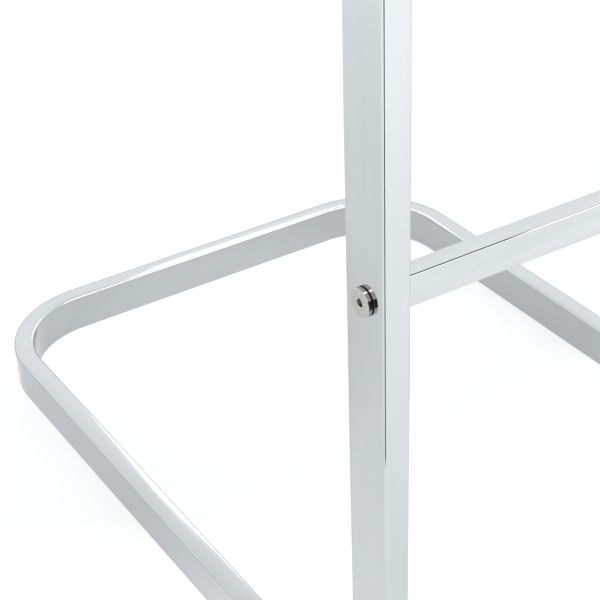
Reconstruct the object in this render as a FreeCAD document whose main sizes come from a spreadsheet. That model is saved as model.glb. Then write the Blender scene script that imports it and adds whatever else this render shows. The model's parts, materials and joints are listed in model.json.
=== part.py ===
"""Valet stand: a chromed flat-tube frame that stands on a U-shaped floor loop, with three bolted
bars between its uprights, a tray, and a jacket hanger that swivels on a pin.

Frame: +Z up from the floor, +X along the bars, +Y towards the closed end of the floor loop.
The origin is on the floor, in the middle of the footprint. Every size is in millimetres.
"""
import FreeCAD, Part
import math
import os
import re

import Sketcher
from FreeCAD import Placement, Rotation, Vector

DIMENSIONS = {
    # the flat tube of the loop and the uprights
    "frame_width": 390, "frame_depth": 540, "upright_top": 1030,
    "tube_height": 30, "tube_thickness": 15, "tube_wall": 1.5, "tube_edge": 1.6,
    "inner_edge": 0.5, "bend_radius": 77,
    # the rectangular bars between the uprights
    "crossbar_height": 318.5, "trouser_bar_height": 880, "top_rail_height": 1000,
    "bar_height": 16.7, "bar_width": 11.7, "bar_wall": 1.5, "bar_edge": 1, "bar_setback": 15,
    "plug_length": 25, "slip_gap": 0.25,
    # the through-bolts, all alike
    "bolt_head_radius": 7.25, "bolt_head_height": 2.3, "bolt_bevel": 0.5, "bolt_radius": 2.95,
    "socket_radius": 2.31, "socket_depth": 3.2, "thread_radius": 3, "bolt_hole_radius": 3.3,
    "bolt_reach": 18, "washer_radius": 6.3, "washer_thickness": 0.5, "sleeve_radius": 5.5,
    # small screws
    "screw_radius": 2.4, "screw_hole_radius": 2.5, "screw_head_radius": 4.75,
    "screw_head_height": 2.6, "screw_bevel": 0.9, "screw_socket_radius": 1.73,
    "tray_screw_radius": 1.7, "tray_screw_head_radius": 3.5, "tray_screw_head_height": 2,
    "tray_screw_length": 9,
    # the corner joints between loop and uprights
    "connector_leg": 65, "connector_screw_reach": 48, "connector_screw_length": 9,
    # glides under the loop and caps on the uprights
    "glide_height": 2, "glide_radius": 4, "glide_stem_radius": 2, "glide_stem_length": 5,
    "glide_front": 14, "glide_inset": 20, "cap_thickness": 2, "cap_insert": 12,
    # the sleeve on the trouser bar
    "grip_length": 300, "grip_wall": 1.95, "grip_fit": 0.05, "grip_edge": 3.5,
    # the tray and its two arms
    "tray_underside": 925, "tray_depth": 110, "tray_height": 25, "tray_wall": 3, "tray_floor": 8,
    "tray_corner": 8, "tray_start": 36, "tray_side_gap": 0.5, "liner_thickness": 2, "liner_gap": 0.5,
    "arm_thickness": 3, "arm_plate_height": 22, "arm_length": 146, "arm_shelf": 15, "arm_setback": 2,
    "arm_screw_spacing": 14, "arm_screw_setback": 8, "arm_screw_drop": 8, "tray_screw_inset": 18,
    # the stem and the swivel
    "stem_top": 1100, "stem_radius": 7, "stem_wall": 1.5, "stem_plug_length": 18,
    "stem_bolt_reach": 14,
    "pivot_radius": 5, "pivot_flange_radius": 9, "pivot_flange": 2.5, "pivot_root": 16,
    "friction_washer": 1, "swivel_gap": 0.3, "running_gap": 0.05, "retainer_radius": 9.5,
    "retainer_thickness": 1.2, "retainer_screw_length": 14,
    # the jacket hanger
    "hanger_width": 430, "boss_radius": 11, "boss_height": 36, "bush_radius": 7,
    "hanger_forward": 45, "hanger_droop": 57, "shoulder_depth": 22, "shoulder_thickness": 8,
    "neck_thickness": 11, "neck_rise": 20, "cap_height": 8, "cap_wall": 1.2,
}

HEIGHTS = {"crossbar": "crossbar_height", "trouser_bar": "trouser_bar_height",
           "top_rail": "top_rail_height"}
SIDES = {"left": -1, "right": 1}
HALF_WIDTH = "(frame_width / 2)"
FRONT = "(-frame_depth / 2)"
BAR_AXIS = "(bar_setback - frame_depth / 2)"
RUN_CENTRE = "((frame_width - tube_thickness) / 2)"
INNER_FACE = "(frame_width / 2 - tube_thickness)"
SWIVEL_BASE = "(stem_top + pivot_flange)"
BOSS_BASE = "(stem_top + pivot_flange + friction_washer + swivel_gap)"
HANGER_SECTIONS = 8
QUARTER_TURN = math.pi / 2

doc = FreeCAD.newDocument("valet_stand")
sheet = doc.addObject("Spreadsheet::Sheet", "Sizes")
for row, (alias, value) in enumerate(DIMENSIONS.items(), start=1):
    sheet.set("A%d" % row, alias)
    sheet.set("B%d" % row, str(value))
    sheet.setAlias("B%d" % row, alias)
doc.recompute()

nodes = []


# ---------------------------------------------------------------- general helpers

def sized(formula):
    """The formula with each dimension written as a cell of the sheet."""
    return re.sub(r"[a-z_]+", lambda word: "Sizes." + word[0] if word[0] in DIMENSIONS
                  else word[0], str(formula))


def bind(thing, formulas):
    for place, formula in formulas.items():
        thing.setExpression(place, sized(formula))


def put(thing, x="0", y="0", z="0", rotation=None):
    """Places a piece; each coordinate is a formula of the sheet's dimensions."""
    if rotation:
        thing.Placement = Placement(Vector(), rotation)
    bind(thing, {"Placement.Base.x": x, "Placement.Base.y": y, "Placement.Base.z": z})
    return thing


def mirrored(side, formula):
    """A formula of +X distance, with its sign turned for the left side."""
    return "%d * %s" % (side, formula)


def outward(side):
    """Turns a piece's own +Z to point away from the stand's middle plane."""
    return Rotation(Vector(0, 1, 0), 90 * side)


def node(thing, label):
    thing.Label = label
    nodes.append(thing)
    return thing


def group(label, pieces):
    """One node of several separate, alike pieces."""
    compound = doc.addObject("Part::Compound", label + "_group")
    compound.Links = pieces
    return node(compound, label)


def box(name, length, width, height, x="0", y="0", z="0"):
    block = doc.addObject("Part::Box", name)
    bind(block, {"Length": length, "Width": width, "Height": height})
    return put(block, x, y, z)


def cylinder(name, radius, height, x="0", y="0", z="0"):
    rod = doc.addObject("Part::Cylinder", name)
    bind(rod, {"Radius": radius, "Height": height})
    return put(rod, x, y, z)


def hexagon(name, radius, height, z="0"):
    prism = doc.addObject("Part::Prism", name)
    prism.Polygon = 6
    bind(prism, {"Circumradius": radius, "Height": height})
    return put(prism, z=z)


def fuse(name, *pieces):
    union = doc.addObject("Part::MultiFuse", name)
    union.Shapes = list(pieces)
    return union


def cut(name, base, *tools):
    result = doc.addObject("Part::Cut", name)
    result.Base = base
    result.Tool = tools[0] if len(tools) == 1 else fuse(name + "_tools", *tools)
    return result


def bevel(name, base, amount, wanted):
    """Chamfers the edges of base that the test picks."""
    doc.recompute()
    chamfer = doc.addObject("Part::Chamfer", name)
    chamfer.Base = base
    size = float(sheet.get(amount))
    picked = [i for i, edge in enumerate(base.Shape.Edges, start=1) if wanted(edge)]
    chamfer.Edges = [(i, size, size) for i in picked]
    return chamfer


def rim_at(height):
    """A test for the circular edges that lie at one height of a turned piece."""
    return lambda edge: (edge.Curve.TypeId == "Part::GeomCircle"
                         and abs(edge.Curve.Center.z - height) < 1e-6
                         and abs(edge.BoundBox.ZLength) < 1e-6)


# ---------------------------------------------------------------- sketches

def sketch_on(body, name, role, lift="0", right="0", up="0"):
    """An empty sketch on one of the body's origin planes, moved by formulas."""
    sketch = body.newObject("Sketcher::SketchObject", name)
    plane = next(item for item in body.Origin.OriginFeatures if item.Role == role)
    sketch.AttachmentSupport = [(plane, "")]
    sketch.MapMode = "FlatFace"
    bind(sketch, {"AttachmentOffset.Base.x": right, "AttachmentOffset.Base.y": up,
                  "AttachmentOffset.Base.z": lift})
    return sketch


def constrain(sketch, kind, *references, formula=None):
    if formula is None:
        sketch.addConstraint(Sketcher.Constraint(kind, *references))
        return
    index = sketch.addConstraint(Sketcher.Constraint(kind, *references, 1.0))
    name = "size%d" % index
    sketch.renameConstraint(index, name)
    bind(sketch, {"Constraints." + name: formula})


def add_rounded_rectangle(sketch, wide, tall, corner):
    """A rectangle with round corners, centred on the sketch's origin.

    The numbers are only a starting shape, which the constraints then size.
    """
    first = sketch.GeometryCount
    for start, end in (((-4, -5), (4, -5)), ((5, -4), (5, 4)), ((4, 5), (-4, 5)), ((-5, 4), (-5, -4))):
        sketch.addGeometry(Part.LineSegment(Vector(*start, 0), Vector(*end, 0)), False)
    for quarter, centre in enumerate(((4, -4), (4, 4), (-4, 4), (-4, -4))):
        circle = Part.Circle(Vector(*centre, 0), Vector(0, 0, 1), 1)
        start = QUARTER_TURN * (quarter - 1)
        sketch.addGeometry(Part.ArcOfCircle(circle, start, start + QUARTER_TURN), False)
    for i in range(4):
        line, arc, following = first + i, first + 4 + i, first + (i + 1) % 4
        constrain(sketch, "Tangent", line, 2, arc, 1)
        constrain(sketch, "Tangent", arc, 2, following, 1)
        constrain(sketch, "Vertical" if i % 2 else "Horizontal", line)
        if i:
            constrain(sketch, "Equal", first + 4, arc)
    constrain(sketch, "Radius", first + 4, formula=corner)
    constrain(sketch, "Symmetric", first + 7, 3, first + 5, 3, -1, 1)
    constrain(sketch, "DistanceX", first + 7, 3, first + 5, 3, formula="%s - 2 * (%s)" % (wide, corner))
    constrain(sketch, "DistanceY", first + 7, 3, first + 5, 3, formula="%s - 2 * (%s)" % (tall, corner))


def add_tube_section(sketch, wide, tall, wall, corner):
    add_rounded_rectangle(sketch, wide, tall, corner)
    add_rounded_rectangle(sketch, "%s - 2 * (%s)" % (wide, wall), "%s - 2 * (%s)" % (tall, wall),
                          "inner_edge")


def add_circle(sketch, radius, x, y):
    """A circle at a place right of and above the origin, given as two positive formulas."""
    index = sketch.addGeometry(Part.Circle(Vector(10, 10, 0), Vector(0, 0, 1), 1), False)
    constrain(sketch, "Radius", index, formula=radius)
    constrain(sketch, "DistanceX", -1, 1, index, 3, formula=x)
    constrain(sketch, "DistanceY", -1, 1, index, 3, formula=y)


def add_mitre_triangle(sketch, upper):
    """A right-angled triangle whose long side is the 45 degree mitre through the corner.

    The numbers are only a starting shape, which the constraints then size.
    """
    third = (-2, 31) if upper else (31, -2)
    corners = [Vector(-2, -2, 0), Vector(31, 31, 0), Vector(*third, 0)]
    for i in range(3):
        sketch.addGeometry(Part.LineSegment(corners[i], corners[(i + 1) % 3]), False)
    for i in range(3):
        constrain(sketch, "Coincident", i, 2, (i + 1) % 3, 1)
    constrain(sketch, "Horizontal" if upper else "Vertical", 1)
    constrain(sketch, "Vertical" if upper else "Horizontal", 2)
    constrain(sketch, "Equal", 1, 2)
    constrain(sketch, "DistanceX", 0, 1, -1, 1, formula="tube_wall")
    constrain(sketch, "DistanceY", 0, 1, -1, 1, formula="tube_wall")
    constrain(sketch, "DistanceY", 0, 1, 0, 2, formula="tube_height + 2 * tube_wall")


def feature(body, kind, sketch, settings=None, **values):
    item = body.newObject("PartDesign::" + kind, sketch.Name + "_" + kind.lower())
    item.Profile = sketch
    for name, value in values.items():
        setattr(item, name, value)
    bind(item, settings or {})
    return item


def cut_through(body, sketch):
    return feature(body, "Pocket", sketch, Type="ThroughAll", SideType="Symmetric")


def new_body(name):
    return doc.addObject("PartDesign::Body", name)


# ---------------------------------------------------------------- frame tubes

def loop_path(body):
    """The U that the tube's middle follows; its first numbers are only a starting shape."""
    path = sketch_on(body, "loop_path", "XY_Plane", lift="glide_height + tube_height / 2")
    left, right, near, far, bend = -187, 187, -270, 262, 70
    corners = ((left + bend, far - bend), (right - bend, far - bend))
    path.addGeometry(Part.LineSegment(Vector(left, near, 0), Vector(left, far - bend, 0)), False)
    left_arc = Part.Circle(Vector(*corners[0], 0), Vector(0, 0, 1), bend)
    path.addGeometry(Part.ArcOfCircle(left_arc, QUARTER_TURN, 2 * QUARTER_TURN), False)
    path.addGeometry(Part.LineSegment(Vector(left + bend, far, 0), Vector(right - bend, far, 0)), False)
    right_arc = Part.Circle(Vector(*corners[1], 0), Vector(0, 0, 1), bend)
    path.addGeometry(Part.ArcOfCircle(right_arc, 0, QUARTER_TURN), False)
    path.addGeometry(Part.LineSegment(Vector(right, far - bend, 0), Vector(right, near, 0)), False)
    for joint in ((0, 2, 1, 2), (1, 1, 2, 1), (2, 2, 3, 2), (3, 1, 4, 1)):
        constrain(path, "Tangent", *joint)
    constrain(path, "Vertical", 0)
    constrain(path, "Horizontal", 2)
    constrain(path, "Vertical", 4)
    constrain(path, "Equal", 1, 3)
    constrain(path, "Radius", 1, formula="bend_radius - tube_thickness / 2")
    constrain(path, "Symmetric", 0, 1, 4, 2, -2)
    constrain(path, "DistanceX", 0, 1, 4, 2, formula="frame_width - tube_thickness")
    constrain(path, "DistanceY", -1, 1, 2, 1, formula="(frame_depth - tube_thickness) / 2")
    constrain(path, "DistanceY", 0, 1, -1, 1, formula="frame_depth / 2")
    return path


def floor_loop():
    """A tube bent to a U, lying on edge, with mitred front ends."""
    body = new_body("floor_loop")
    path = loop_path(body)
    section = sketch_on(body, "loop_section", "XZ_Plane", lift="frame_depth / 2",
                        right="-" + RUN_CENTRE, up="glide_height + tube_height / 2")
    add_tube_section(section, "tube_thickness", "tube_height", "tube_wall", "tube_edge")
    doc.recompute()
    feature(body, "AdditivePipe", section, Spine=(path, [""]), Mode="Frenet")

    mitre = sketch_on(body, "loop_mitre", "YZ_Plane", right=FRONT, up="glide_height")
    add_mitre_triangle(mitre, upper=True)
    cut_through(body, mitre)

    screws = sketch_on(body, "loop_screw_holes", "YZ_Plane", right=FRONT, up="glide_height")
    add_circle(screws, "screw_hole_radius", "connector_screw_reach", "tube_height / 2")
    feature(body, "Pocket", screws, {"Length": "frame_width - 2 * tube_thickness + 4 * tube_wall"},
            SideType="Symmetric")

    glides = sketch_on(body, "loop_glide_holes", "XY_Plane", lift="glide_height + 2 * tube_wall",
                       right="-frame_width", up="-frame_depth")
    for x, y in glide_places():
        add_circle(glides, "glide_stem_radius + running_gap", "frame_width + " + x, "frame_depth + " + y)
    feature(body, "Pocket", glides, {"Length": "4 * tube_wall"})
    node(body, "floor_loop")


def glide_places():
    """Where the glides stand: front ends, side runs before the bends, and the closed end."""
    places = []
    for side in SIDES.values():
        run = mirrored(side, RUN_CENTRE)
        places.append((run, FRONT + " + glide_front"))
        places.append((run, "frame_depth / 2 - bend_radius - glide_inset"))
        places.append((mirrored(side, "(frame_width / 2 - bend_radius - glide_inset)"),
                       "(frame_depth - tube_thickness) / 2"))
    return places


def upright(name, side):
    """A straight tube, mitred at its foot, drilled for three through-bolts and the tray's arm."""
    body = new_body(name)
    section = sketch_on(body, name + "_section", "XY_Plane")
    add_tube_section(section, "tube_thickness", "tube_height", "tube_wall", "tube_edge")
    feature(body, "Pad", section, {"Length": "upright_top - glide_height"})

    mitre = sketch_on(body, name + "_mitre", "YZ_Plane", right="-tube_height / 2")
    add_mitre_triangle(mitre, upper=False)
    cut_through(body, mitre)

    bolts = sketch_on(body, name + "_bolt_holes", "YZ_Plane", right="-tube_height / 2")
    for height in HEIGHTS.values():
        add_circle(bolts, "bolt_hole_radius", "bar_setback", height + " - glide_height")
    cut_through(body, bolts)

    screws = sketch_on(body, name + "_screw_holes", "YZ_Plane", right="-tube_height / 2")
    add_circle(screws, "screw_hole_radius", "tube_height / 2", "connector_screw_reach")
    for step in range(2):
        add_circle(screws, "screw_hole_radius", "arm_screw_setback + %d * arm_screw_spacing" % step,
                   "tray_underside + arm_screw_drop - glide_height")
    feature(body, "Pocket", screws, {"Length": "tube_thickness"}, Reversed=side < 0)
    put(body, mirrored(side, RUN_CENTRE), FRONT + " + tube_height / 2", "glide_height")
    node(body, name)


def bar(name, drilled=False):
    """A rectangular tube between the uprights; the top rail is drilled for the stem's bolt."""
    body = new_body(name)
    section = sketch_on(body, name + "_section", "YZ_Plane")
    add_tube_section(section, "bar_width", "bar_height", "bar_wall", "bar_edge")
    feature(body, "Pad", section, {"Length": "frame_width - 2 * tube_thickness"}, SideType="Symmetric")
    if drilled:
        hole = sketch_on(body, name + "_hole", "XY_Plane")
        add_circle(hole, "bolt_hole_radius", "0", "0")
        cut_through(body, hole)
    put(body, y=BAR_AXIS, z=HEIGHTS[name])
    node(body, name)


# ---------------------------------------------------------------- fasteners

def bolt(name, shank_formula, head_underside):
    """A flat-head socket bolt along +Z; head_underside is a formula of its height."""
    shank = cylinder(name + "_shank", "bolt_radius", shank_formula,
                     z="%s - (%s)" % (head_underside, shank_formula))
    head = cylinder(name + "_head", "bolt_head_radius", "bolt_head_height", z=head_underside)
    doc.recompute()
    top = head.Placement.Base.z + float(head.Height)
    rounded = bevel(name + "_rim", head, "bolt_bevel", rim_at(top))
    socket = hexagon(name + "_socket", "socket_radius", "socket_depth + 1",
                     z="%s + bolt_head_height - socket_depth" % head_underside)
    return cut(name, fuse(name + "_blank", rounded, shank), socket)


def washer(name, outer, inner, thickness, z):
    return cut(name, cylinder(name + "_disc", outer, thickness, z=z),
               cylinder(name + "_hole", inner, thickness + " + 2", z=z + " - 1"))


def bar_fasteners(name):
    """At each end of a bar: threaded plug, sleeve in the upright, thin washer and bolt."""
    kinds = {"end_plugs": [], "spacer_sleeves": [], "washers": [], "bolts": []}
    for side_name, side in SIDES.items():
        stem = name + "_" + side_name + "_"
        plug = box(stem + "plug_block", "bar_height - 2 * bar_wall - 2 * slip_gap",
                   "bar_width - 2 * bar_wall - 2 * slip_gap", "plug_length",
                   x="bar_wall + slip_gap - bar_height / 2", y="bar_wall + slip_gap - bar_width / 2",
                   z="-tube_thickness - plug_length")
        bore = cylinder(stem + "plug_bore", "thread_radius", "plug_length + 2",
                        z="-tube_thickness - plug_length - 1")
        kinds["end_plugs"].append(cut(stem + "plug", plug, bore))
        kinds["spacer_sleeves"].append(
            washer(stem + "sleeve", "sleeve_radius", "bolt_hole_radius",
                   "tube_thickness - 2 * tube_wall", "tube_wall - tube_thickness"))
        kinds["washers"].append(
            washer(stem + "washer", "washer_radius", "bolt_hole_radius", "washer_thickness", "0"))
        kinds["bolts"].append(
            bolt(stem + "bolt", "washer_thickness + tube_thickness + bolt_reach", "washer_thickness"))
        for pieces in kinds.values():
            put(pieces[-1], mirrored(side, HALF_WIDTH), BAR_AXIS, HEIGHTS[name], outward(side))
    for kind, pieces in kinds.items():
        group(name + "_" + kind, pieces)


def button_screw(name, length):
    """A small round-head socket screw along +Z, its head standing on the plane z = 0."""
    head = cylinder(name + "_head", "screw_head_radius", "screw_head_height")
    doc.recompute()
    rounded = bevel(name + "_rim", head, "screw_bevel", rim_at(float(head.Height)))
    shank = cylinder(name + "_shank", "screw_radius", length, z="-" + length)
    socket = hexagon(name + "_socket", "screw_socket_radius", "socket_depth + 1",
                     z="screw_head_height - socket_depth")
    return cut(name, fuse(name + "_blank", rounded, shank), socket)


# ---------------------------------------------------------------- corner joints, glides, caps

def corner_joints():
    """A steel angle inside each mitred corner, held by a screw in each leg."""
    angles = []
    screws = []
    inset = "(tube_wall + slip_gap)"
    across = "tube_thickness - 2 * %s" % inset
    section = "tube_height - 2 * %s" % inset
    reach = "connector_leg - %s" % inset
    for side_name, side in SIDES.items():
        stem = side_name + "_corner_"
        x = "%s - (%s) / 2" % (mirrored(side, RUN_CENTRE), across)
        y = FRONT + " + " + inset
        z = "glide_height + " + inset
        post_leg = box(stem + "post_leg", across, section, reach, x, y, z)
        run_leg = box(stem + "run_leg", across, reach, section, x, y, z)
        holes = []
        spots = {"post": (FRONT + " + tube_height / 2", "glide_height + connector_screw_reach"),
                 "run": (FRONT + " + connector_screw_reach", "glide_height + tube_height / 2")}
        for leg, (spot_y, spot_z) in spots.items():
            hole = cylinder(stem + leg + "_hole", "screw_hole_radius", "2 * tube_thickness")
            put(hole, mirrored(side, HALF_WIDTH), spot_y, spot_z, outward(-side))
            holes.append(hole)
            screw = button_screw(stem + leg + "_screw", "connector_screw_length")
            put(screw, mirrored(side, INNER_FACE), spot_y, spot_z, outward(-side))
            screws.append(screw)
        holes.append(cylinder(stem + "glide_hole", "glide_stem_radius + slip_gap", "2 * glide_stem_length",
                              mirrored(side, RUN_CENTRE), FRONT + " + glide_front"))
        angles.append(cut(stem + "angle", fuse(stem + "blank", post_leg, run_leg), *holes))
    group("corner_connectors", angles)
    group("connector_screws", screws)


def floor_glides():
    glides = []
    for number, (x, y) in enumerate(glide_places()):
        name = "glide_%d" % number
        pad = cylinder(name + "_pad", "glide_radius", "glide_height")
        stem = cylinder(name + "_stem", "glide_stem_radius", "glide_stem_length", z="glide_height")
        glides.append(put(fuse(name, pad, stem), x, y))
    group("floor_glides", glides)


def upright_caps():
    """A plug with a flat lid on top of each upright."""
    caps = []
    for side_name, side in SIDES.items():
        name = side_name + "_cap"
        body = new_body(name)
        lid = sketch_on(body, name + "_lid", "XY_Plane")
        add_rounded_rectangle(lid, "tube_thickness", "tube_height", "tube_edge")
        feature(body, "Pad", lid, {"Length": "cap_thickness"})
        insert = sketch_on(body, name + "_insert", "XY_Plane")
        inset = "2 * (tube_wall + slip_gap)"
        add_rounded_rectangle(insert, "tube_thickness - " + inset, "tube_height - " + inset, "inner_edge")
        feature(body, "Pad", insert, {"Length": "cap_insert"}, Reversed=True)
        put(body, mirrored(side, RUN_CENTRE), FRONT + " + tube_height / 2", "upright_top")
        caps.append(body)
    group("upright_caps", caps)


# ---------------------------------------------------------------- trouser grip and tray

def trouser_grip():
    body = new_body("trouser_bar_grip")
    section = sketch_on(body, "grip_section", "YZ_Plane")
    add_tube_section(section, "bar_width + 2 * (grip_wall + grip_fit)",
                     "bar_height + 2 * (grip_wall + grip_fit)", "grip_wall", "grip_edge")
    feature(body, "Pad", section, {"Length": "grip_length"}, SideType="Symmetric")
    put(body, y=BAR_AXIS, z="trouser_bar_height")
    node(body, "trouser_bar_grip")


def tray_screw_spots():
    shelf_middle = "(%s - arm_thickness - arm_shelf / 2)" % INNER_FACE
    back = FRONT + " + tray_start"
    return [(mirrored(side, shelf_middle), y) for side in SIDES.values()
            for y in (back + " + tray_screw_inset", back + " + tray_depth - tray_screw_inset")]


def tray_arms():
    """A bent steel strip screwed inside each upright; its shelf carries the tray."""
    arm_screws = []
    for side_name, side in SIDES.items():
        name = "tray_arm_" + side_name
        plate_x = mirrored(side, "(%s - arm_thickness / 2)" % INNER_FACE)
        low = "tray_underside - arm_thickness"
        plate = box(name + "_plate", "arm_thickness", "arm_length", "arm_plate_height",
                    plate_x + " - arm_thickness / 2", FRONT + " + arm_setback", low)
        shelf_width = "(arm_shelf + arm_thickness)"
        shelf_x = mirrored(side, "(%s - %s / 2)" % (INNER_FACE, shelf_width))
        shelf = box(name + "_shelf", shelf_width, "tray_depth - 4 * arm_setback", "arm_thickness",
                    shelf_x + " - %s / 2" % shelf_width, FRONT + " + tray_start + 2 * arm_setback", low)
        holes = []
        for step in range(2):
            spot_y = FRONT + " + arm_screw_setback + %d * arm_screw_spacing" % step
            spot_z = "tray_underside + arm_screw_drop"
            hole = cylinder("%s_hole_%d" % (name, step), "screw_hole_radius", "2 * tube_thickness")
            put(hole, mirrored(side, RUN_CENTRE), spot_y, spot_z, outward(-side))
            holes.append(hole)
            screw = button_screw("%s_screw_%d" % (name, step), "connector_screw_length")
            put(screw, mirrored(side, "(%s - arm_thickness)" % INNER_FACE), spot_y, spot_z, outward(-side))
            arm_screws.append(screw)
        for number, (x, y) in enumerate(tray_screw_spots()):
            holes.append(cylinder("%s_shelf_hole_%d" % (name, number), "tray_screw_radius + slip_gap",
                                  "4 * arm_thickness", x, y, low + " - arm_thickness"))
        node(cut(name, fuse(name + "_blank", plate, shelf), *holes), name)
    group("tray_arm_screws", arm_screws)


def tray():
    """A wooden tray with a felt liner, screwed to the arms from below."""
    body = new_body("tray")
    wide = "2 * (%s - arm_thickness - tray_side_gap)" % INNER_FACE
    outline = sketch_on(body, "tray_outline", "XY_Plane")
    add_rounded_rectangle(outline, wide, "tray_depth", "tray_corner")
    feature(body, "Pad", outline, {"Length": "tray_height"})
    hollow = sketch_on(body, "tray_hollow", "XY_Plane", lift="tray_height")
    add_rounded_rectangle(hollow, wide + " - 2 * tray_wall", "tray_depth - 2 * tray_wall",
                          "tray_corner - tray_wall")
    feature(body, "Pocket", hollow, {"Length": "tray_height - tray_floor"})
    middle = FRONT + " + tray_start + tray_depth / 2"
    pilots = sketch_on(body, "tray_pilots", "XY_Plane", right="-frame_width", up="-frame_depth")
    for x, y in tray_screw_spots():
        add_circle(pilots, "tray_screw_radius + running_gap", "frame_width + " + x,
                   "frame_depth + %s - (%s)" % (y, middle))
    feature(body, "Pocket", pilots, {"Length": "tray_floor - running_gap"}, Reversed=True)
    put(body, y=middle, z="tray_underside")
    node(body, "tray")

    felt = new_body("tray_liner")
    patch = sketch_on(felt, "felt_outline", "XY_Plane")
    inset = " - 2 * (tray_wall + liner_gap)"
    add_rounded_rectangle(patch, wide + inset, "tray_depth" + inset, "tray_corner - tray_wall")
    feature(felt, "Pad", patch, {"Length": "liner_thickness"})
    put(felt, y=middle, z="tray_underside + tray_floor")
    node(felt, "tray_liner")

    screws = []
    for number, (x, y) in enumerate(tray_screw_spots()):
        name = "tray_screw_%d" % number
        head = cylinder(name + "_head", "tray_screw_head_radius", "tray_screw_head_height",
                        z="-arm_thickness - tray_screw_head_height")
        shank = cylinder(name + "_shank", "tray_screw_radius", "tray_screw_length", z="-arm_thickness")
        slot = hexagon(name + "_socket", "tray_screw_radius", "tray_screw_head_height / 2 + 1",
                       z="-arm_thickness - tray_screw_head_height - 1")
        screws.append(put(cut(name, fuse(name + "_blank", head, shank), slot), x, y, "tray_underside"))
    group("tray_screws", screws)


# ---------------------------------------------------------------- stem, swivel and hanger

def stem():
    """The round post on the top rail, bolted from below, and the pivot in its top."""
    foot = "(top_rail_height + bar_height / 2)"
    bore = "stem_radius - stem_wall"
    outer = cylinder("stem_outer", "stem_radius", "stem_top - " + foot, z=foot)
    inner = cylinder("stem_inner", bore, "stem_top - %s + 2" % foot, z=foot + " - 1")
    node(put(cut("stem_tube", outer, inner), y=BAR_AXIS), "hanger_stem")

    plug = cylinder("stem_plug_rod", bore + " - running_gap", "stem_plug_length", z=foot)
    thread = cylinder("stem_plug_thread", "thread_radius", "stem_plug_length + 2", z=foot + " - 1")
    node(put(cut("stem_plug_part", plug, thread), y=BAR_AXIS), "stem_plug")

    upside_down = Rotation(Vector(1, 0, 0), 180)
    flat = washer("stem_washer_part", "washer_radius", "bolt_hole_radius", "washer_thickness", "0")
    fixing = bolt("stem_bolt_part", "washer_thickness + bar_height + stem_bolt_reach",
                  "washer_thickness")
    for piece, label in ((flat, "stem_washer"), (fixing, "stem_bolt")):
        node(put(piece, y=BAR_AXIS, z="top_rail_height - bar_height / 2", rotation=upside_down), label)

    root = cylinder("pivot_root_rod", bore + " - running_gap", "pivot_root", z="stem_top - pivot_root")
    flange = cylinder("pivot_flange_disc", "pivot_flange_radius", "pivot_flange", z="stem_top")
    pin_top = BOSS_BASE + " + boss_height + swivel_gap"
    pin = cylinder("pivot_pin_rod", "pivot_radius", "%s - %s" % (pin_top, SWIVEL_BASE), z=SWIVEL_BASE)
    tapped = cylinder("pivot_thread", "screw_hole_radius", "retainer_screw_length + 2",
                      z=pin_top + " - retainer_screw_length - 1")
    node(put(cut("pivot", fuse("pivot_blank", root, flange, pin), tapped), y=BAR_AXIS), "hanger_pivot")

    friction = washer("friction_part", "pivot_flange_radius", "pivot_radius + running_gap",
                      "friction_washer", SWIVEL_BASE)
    node(put(friction, y=BAR_AXIS), "friction_washer")
    retainer = washer("retainer_part", "retainer_radius", "screw_hole_radius", "retainer_thickness",
                      pin_top)
    node(put(retainer, y=BAR_AXIS), "retaining_washer")
    screw = button_screw("retainer_screw_part", "retainer_screw_length")
    node(put(screw, y=BAR_AXIS, z=pin_top + " + retainer_thickness"), "retaining_screw")


def hanger_section(step):
    """An ellipse across the hanger's arms, which droop and come forward towards their ends."""
    reach = 2 * step / HANGER_SECTIONS - 1
    share = abs(reach)
    ellipse = doc.addObject("Part::Ellipse", "hanger_section_%d" % step)
    bind(ellipse, {
        "MajorRadius": "boss_radius + (shoulder_depth - boss_radius) * %.4f" % share ** 1.5,
        "MinorRadius": "neck_thickness + (shoulder_thickness - neck_thickness) * %.4f" % share})
    across = Rotation(Vector(0, 0, 1), 90) * Rotation(Vector(1, 0, 0), 90)
    return put(ellipse, "hanger_width / 2 * %.4f" % reach, "hanger_forward * %.4f" % share ** 2,
               "neck_rise - hanger_droop * %.4f" % share ** 1.6, across)


def hanger():
    """The contoured hanger with a boss in its middle, the bush in the boss and the cap on it."""
    arms = doc.addObject("Part::Loft", "hanger_arms")
    arms.Sections = [hanger_section(step) for step in range(HANGER_SECTIONS + 1)]
    arms.Solid = True
    boss = cylinder("hanger_boss", "boss_radius", "boss_height")
    bore = cylinder("hanger_bore", "bush_radius + running_gap", "boss_height + 2", z="0 - 1")
    body = cut("hanger_wood", fuse("hanger_blank", arms, boss), bore)
    node(put(body, y=BAR_AXIS, z=BOSS_BASE), "hanger_body")

    bush = washer("bush_part", "bush_radius", "pivot_radius + running_gap", "boss_height", BOSS_BASE)
    node(put(bush, y=BAR_AXIS), "hanger_bush")

    cap_base = BOSS_BASE + " + boss_height"
    shell = cylinder("cap_shell", "boss_radius", "cap_height", z=cap_base)
    hollow = cylinder("cap_hollow", "boss_radius - cap_wall", "cap_height - cap_wall + 1",
                      z=cap_base + " - 1")
    node(put(cut("cap_part", shell, hollow), y=BAR_AXIS), "hanger_cap")


def check_and_write():
    """Stops if any object failed, then writes each node's shape."""
    doc.recompute()
    failed = [item.Name for item in doc.Objects
              if "Invalid" in item.State or "Error" in item.State]
    if failed:
        raise RuntimeError("failed objects: %s" % failed)
    os.makedirs("parts", exist_ok=True)
    for item in nodes:
        shape = item.Shape
        if shape.isNull() or not shape.isValid():
            raise RuntimeError("bad shape: " + item.Label)
        shape.exportStep("parts/%s.step" % item.Label)
        print("%-28s solids %d  volume %.0f mm3" % (item.Label, len(shape.Solids), shape.Volume))


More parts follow.
